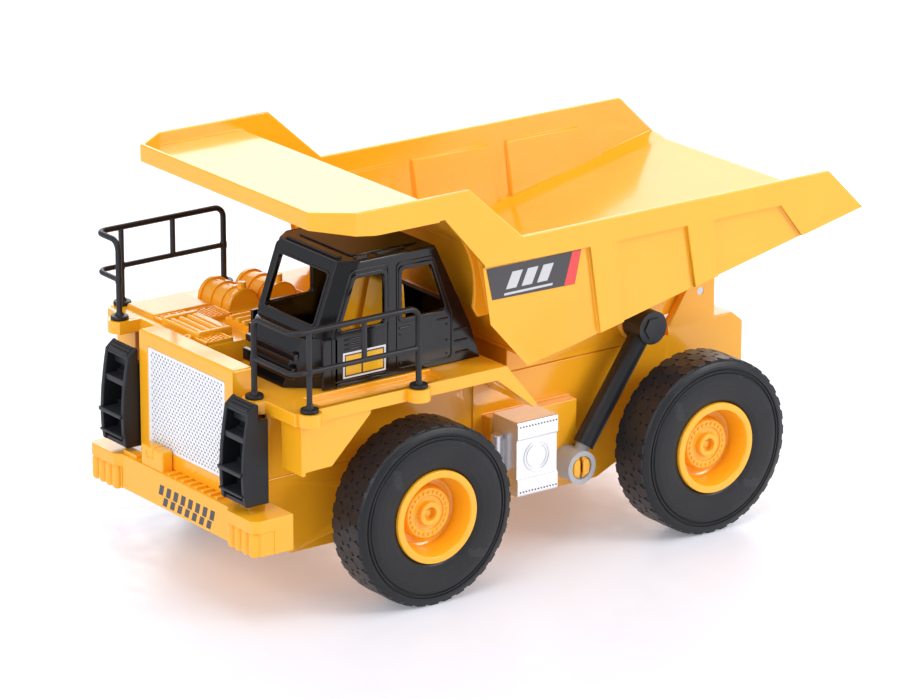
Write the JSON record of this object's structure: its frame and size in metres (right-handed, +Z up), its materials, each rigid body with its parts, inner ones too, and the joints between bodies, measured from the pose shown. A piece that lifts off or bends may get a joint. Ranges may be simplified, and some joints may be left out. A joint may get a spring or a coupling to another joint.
{
  "type": "toy dump truck",
  "caption": "Large toy mining dump truck with rolling wheels, side cab, handrails and a tipping hopper bed on two telescopic hoist struts.",
  "frame": {"origin": "on the ground under the middle of the overall length and width", "axes": "+X to the truck's left (cab side), front faces -Y, +Z up"},
  "size_m": [0.1634, 0.3182, 0.1792],
  "materials": {
    "yellow_abs": "glossy moulded, yellow-orange",
    "black_gloss": "glossy moulded, black",
    "black_satin": "satin moulded, dark grey-black",
    "tyre_black": "soft moulded, matt",
    "grille_white": "perforated, silver-white",
    "tank_silver": "silver-white lacquer",
    "filter_silver": "bright plated",
    "grey_abs": "moulded, silver-grey",
    "stripe_film": "printed film, dark with a red bar",
    "label_film": "printed film, yellow with a white border",
    "steel": "drawn wire"
  },
  "bodies": {
    "chassis": {"chassis_frame": "yellow_abs", "chassis_base_plate": "yellow_abs", "chassis_screws": "steel", "bed_hinge_pins": "steel", "front_bumper": "yellow_abs", "radiator_housing": "yellow_abs", "radiator_grille": "grille_white", "headlamp_tower_left": "black_satin", "headlamp_tower_right": "black_satin", "deck_left": "yellow_abs", "deck_right": "yellow_abs", "railing_left": "black_satin", "railing_right": "black_satin", "cab_shell": "black_gloss", "cab_seats": "yellow_abs", "cab_label": "label_film", "fuel_tank_left": "tank_silver", "fuel_tank_right": "tank_silver", "tank_filter_left": "filter_silver", "tank_filter_right": "filter_silver"},
    "bed": {"bed_hopper": "yellow_abs", "side_stripe_left": "stripe_film", "side_stripe_right": "stripe_film"},
    "rod_left": {"hoist_rod_left": "grey_abs"},
    "rod_right": {"hoist_rod_right": "grey_abs"},
    "barrel_left": {"hoist_barrel_left": "black_satin"},
    "barrel_right": {"hoist_barrel_right": "black_satin"},
    "front_axle": {"front_axle_rod": "steel", "hub_front_left": "yellow_abs", "hub_front_right": "yellow_abs", "tyre_front_left": "tyre_black", "tyre_front_right": "tyre_black"},
    "rear_axle": {"rear_axle_rod": "steel", "hub_rear_left": "yellow_abs", "hub_rear_right": "yellow_abs", "tyre_rear_left": "tyre_black", "tyre_rear_right": "tyre_black"}
  },
  "joints": [
    {"name": "bed_tilt", "type": "hinge", "parent": "chassis", "child": "bed", "pos_m": [0, 0.0951, 0.0982], "axis": [-1, 0, 0], "range_deg": [0, 45]},
    {"name": "rod_left_swing", "type": "hinge", "parent": "chassis", "child": "rod_left", "pos_m": [0.0536, 0.0159, 0.0367], "axis": [1, 0, 0], "range_deg": [0, 8]},
    {"name": "barrel_left_extend", "type": "slide", "parent": "rod_left", "child": "barrel_left", "axis": [0, 0.5688, 0.8225], "range_m": [0, 0.03]},
    {"name": "rod_right_swing", "type": "hinge", "parent": "chassis", "child": "rod_right", "pos_m": [-0.0536, 0.0159, 0.0367], "axis": [1, 0, 0], "range_deg": [0, 8]},
    {"name": "barrel_right_extend", "type": "slide", "parent": "rod_right", "child": "barrel_right", "axis": [0, 0.5688, 0.8225], "range_m": [0, 0.03]},
    {"name": "front_axle_spin", "type": "hinge", "parent": "chassis", "child": "front_axle", "pos_m": [0, -0.0772, 0.04], "axis": [1, 0, 0], "continuous": true},
    {"name": "rear_axle_spin", "type": "hinge", "parent": "chassis", "child": "rear_axle", "pos_m": [0, 0.0734, 0.04], "axis": [1, 0, 0], "continuous": true}
  ],
  "couplings": [
    {"joint": "rod_left_swing", "follows": "bed_tilt", "ratio": 0.16812},
    {"joint": "barrel_left_extend", "follows": "bed_tilt", "m_per_rad": 0.036886},
    {"joint": "rod_right_swing", "follows": "bed_tilt", "ratio": 0.16812},
    {"joint": "barrel_right_extend", "follows": "bed_tilt", "m_per_rad": 0.036886}
  ]
}
